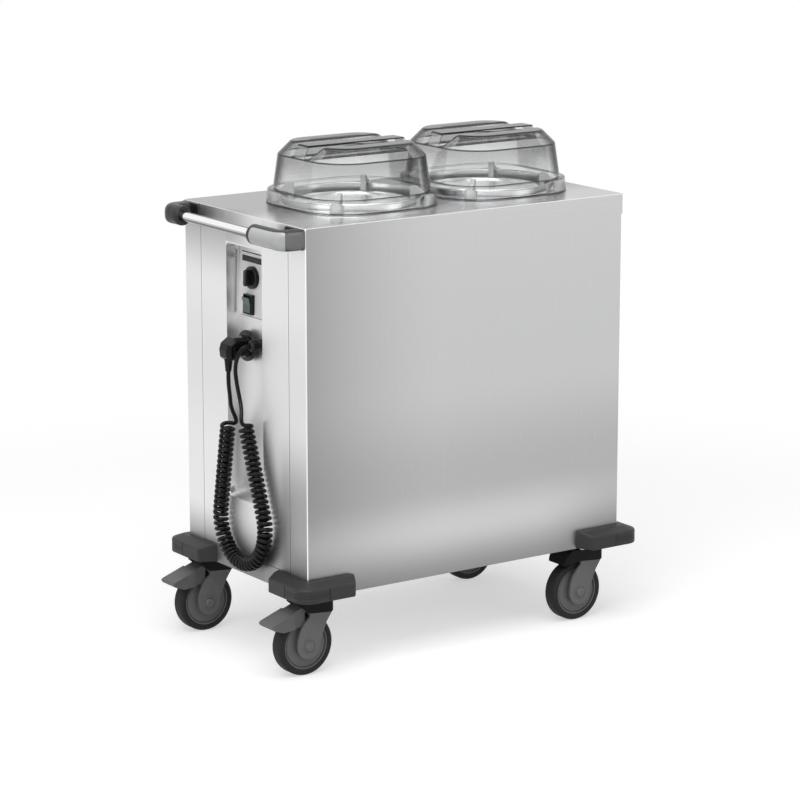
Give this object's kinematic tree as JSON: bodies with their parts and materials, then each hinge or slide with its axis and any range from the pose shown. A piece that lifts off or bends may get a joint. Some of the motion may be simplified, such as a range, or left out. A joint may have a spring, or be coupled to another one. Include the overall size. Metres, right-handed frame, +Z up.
{
  "type": "plate dispenser cart",
  "caption": "Mobile heated plate dispenser: stainless cabinet with sprung plate wells under clear hoods, push handle, corner bumpers, controls with curled cord, braked swivel casters.",
  "frame": {"origin": "on the floor, under the middle of the outline", "axes": "+Z up, X along the cart with the push handle at -X, Y across it"},
  "size_m": [0.8877, 0.5184, 1.025],
  "materials": {
    "stainless": "satin, brushed",
    "bumper_grey": "fine-grained",
    "handle_chrome": "polished",
    "bracket_black": "satin",
    "control_white": "satin",
    "black_plastic": "satin",
    "dark_plastic": "matte",
    "rocker_green": "glossy, translucent",
    "cord_black": "satin",
    "housing_black": "satin",
    "fork_grey": "satin",
    "tyre_grey": "matte",
    "hub_grey": "satin",
    "zinc": "zinc plated",
    "guide_white": "matte",
    "spring_steel": "bright",
    "hood_clear": "clear, glossy",
    "element_steel": "dull"
  },
  "bodies": {
    "cabinet": {"top_plate": "stainless", "side_panel_near": "stainless", "side_panel_far": "stainless", "end_panel_front": "stainless", "end_panel_rear": "stainless", "base_tray": "stainless", "dispenser_tube_1": "stainless", "dispenser_tube_2": "stainless", "bumper_handle_near": "bumper_grey", "bumper_handle_far": "bumper_grey", "bumper_back_near": "bumper_grey", "bumper_back_far": "bumper_grey", "handle_bar": "handle_chrome", "handle_bracket_near": "bracket_black", "handle_bracket_far": "bracket_black", "control_plate": "control_white", "switch_frame": "black_plastic", "parking_socket": "black_plastic", "cable_gland": "black_plastic", "thermostat": "dark_plastic", "plug": "cord_black", "mains_cord": "cord_black", "caster_plates": "zinc", "caster_bolts": "zinc", "plate_guides_1": "guide_white", "plate_guides_2": "guide_white", "platform_springs_1": "spring_steel", "platform_springs_2": "spring_steel", "heating_elements": "element_steel"},
    "swivel_front_near": {"caster_head_front_near": "housing_black", "caster_fork_front_near": "fork_grey", "axle_front_near": "zinc"},
    "wheel_front_near": {"tyre_front_near": "tyre_grey", "hub_front_near": "hub_grey"},
    "pedal_front_near": {"brake_pedal_front_near": "housing_black"},
    "swivel_front_far": {"caster_head_front_far": "housing_black", "caster_fork_front_far": "fork_grey", "axle_front_far": "zinc"},
    "wheel_front_far": {"tyre_front_far": "tyre_grey", "hub_front_far": "hub_grey"},
    "pedal_front_far": {"brake_pedal_front_far": "housing_black"},
    "swivel_rear_near": {"caster_head_rear_near": "housing_black", "caster_fork_rear_near": "fork_grey", "axle_rear_near": "zinc"},
    "wheel_rear_near": {"tyre_rear_near": "tyre_grey", "hub_rear_near": "hub_grey"},
    "swivel_rear_far": {"caster_head_rear_far": "housing_black", "caster_fork_rear_far": "fork_grey", "axle_rear_far": "zinc"},
    "wheel_rear_far": {"tyre_rear_far": "tyre_grey", "hub_rear_far": "hub_grey"},
    "knob": {"thermostat_knob": "black_plastic"},
    "rocker": {"switch_rocker": "rocker_green"},
    "platform_1": {"plate_platform_1": "stainless"},
    "hood_1": {"hood_1": "hood_clear"},
    "platform_2": {"plate_platform_2": "stainless"},
    "hood_2": {"hood_2": "hood_clear"}
  },
  "joints": [
    {"name": "swivel_front_near", "type": "hinge", "parent": "cabinet", "child": "swivel_front_near", "pos_m": [-0.3181, -0.1883, 0.145], "axis": [0, 0, 1], "continuous": true},
    {"name": "spin_front_near", "type": "hinge", "parent": "swivel_front_near", "child": "wheel_front_near", "pos_m": [-0.3581, -0.1883, 0.0625], "axis": [0, 1, 0], "continuous": true},
    {"name": "brake_front_near", "type": "hinge", "parent": "swivel_front_near", "child": "pedal_front_near", "pos_m": [-0.3521, -0.1883, 0.138], "axis": [0, -1, 0], "range_deg": [0, 10]},
    {"name": "swivel_front_far", "type": "hinge", "parent": "cabinet", "child": "swivel_front_far", "pos_m": [-0.3181, 0.1883, 0.145], "axis": [0, 0, 1], "continuous": true},
    {"name": "spin_front_far", "type": "hinge", "parent": "swivel_front_far", "child": "wheel_front_far", "pos_m": [-0.3581, 0.1883, 0.0625], "axis": [0, 1, 0], "continuous": true},
    {"name": "brake_front_far", "type": "hinge", "parent": "swivel_front_far", "child": "pedal_front_far", "pos_m": [-0.3521, 0.1883, 0.138], "axis": [0, -1, 0], "range_deg": [0, 10]},
    {"name": "swivel_rear_near", "type": "hinge", "parent": "cabinet", "child": "swivel_rear_near", "pos_m": [0.3599, -0.1883, 0.145], "axis": [0, 0, 1], "continuous": true},
    {"name": "spin_rear_near", "type": "hinge", "parent": "swivel_rear_near", "child": "wheel_rear_near", "pos_m": [0.3199, -0.1883, 0.0625], "axis": [0, 1, 0], "continuous": true},
    {"name": "swivel_rear_far", "type": "hinge", "parent": "cabinet", "child": "swivel_rear_far", "pos_m": [0.3599, 0.1883, 0.145], "axis": [0, 0, 1], "continuous": true},
    {"name": "spin_rear_far", "type": "hinge", "parent": "swivel_rear_far", "child": "wheel_rear_far", "pos_m": [0.3199, 0.1883, 0.0625], "axis": [0, 1, 0], "continuous": true},
    {"name": "knob_turn", "type": "hinge", "parent": "cabinet", "child": "knob", "pos_m": [-0.34071, 0.008, 0.76811], "axis": [0.9995, 0, -0.032], "range_deg": [0, 270]},
    {"name": "rocker_tip", "type": "hinge", "parent": "cabinet", "child": "rocker", "pos_m": [-0.34618, 0.0168, 0.71322], "axis": [0, 1, 0], "range_deg": [0, 16]},
    {"name": "platform_slide_1", "type": "slide", "parent": "cabinet", "child": "platform_1", "axis": [0, 0, -1], "range_m": [0, 0.48], "stiffness_N_per_m": 600, "springref_m": -0.05, "deforming": ["platform_springs_1"]},
    {"name": "hood_lift_1", "type": "slide", "parent": "cabinet", "child": "hood_1", "axis": [0, 0, 1], "range_m": [0, 0.3]},
    {"name": "platform_slide_2", "type": "slide", "parent": "cabinet", "child": "platform_2", "axis": [0, 0, -1], "range_m": [0, 0.48], "stiffness_N_per_m": 600, "springref_m": -0.05, "deforming": ["platform_springs_2"]},
    {"name": "hood_lift_2", "type": "slide", "parent": "cabinet", "child": "hood_2", "axis": [0, 0, 1], "range_m": [0, 0.3]}
  ]
}
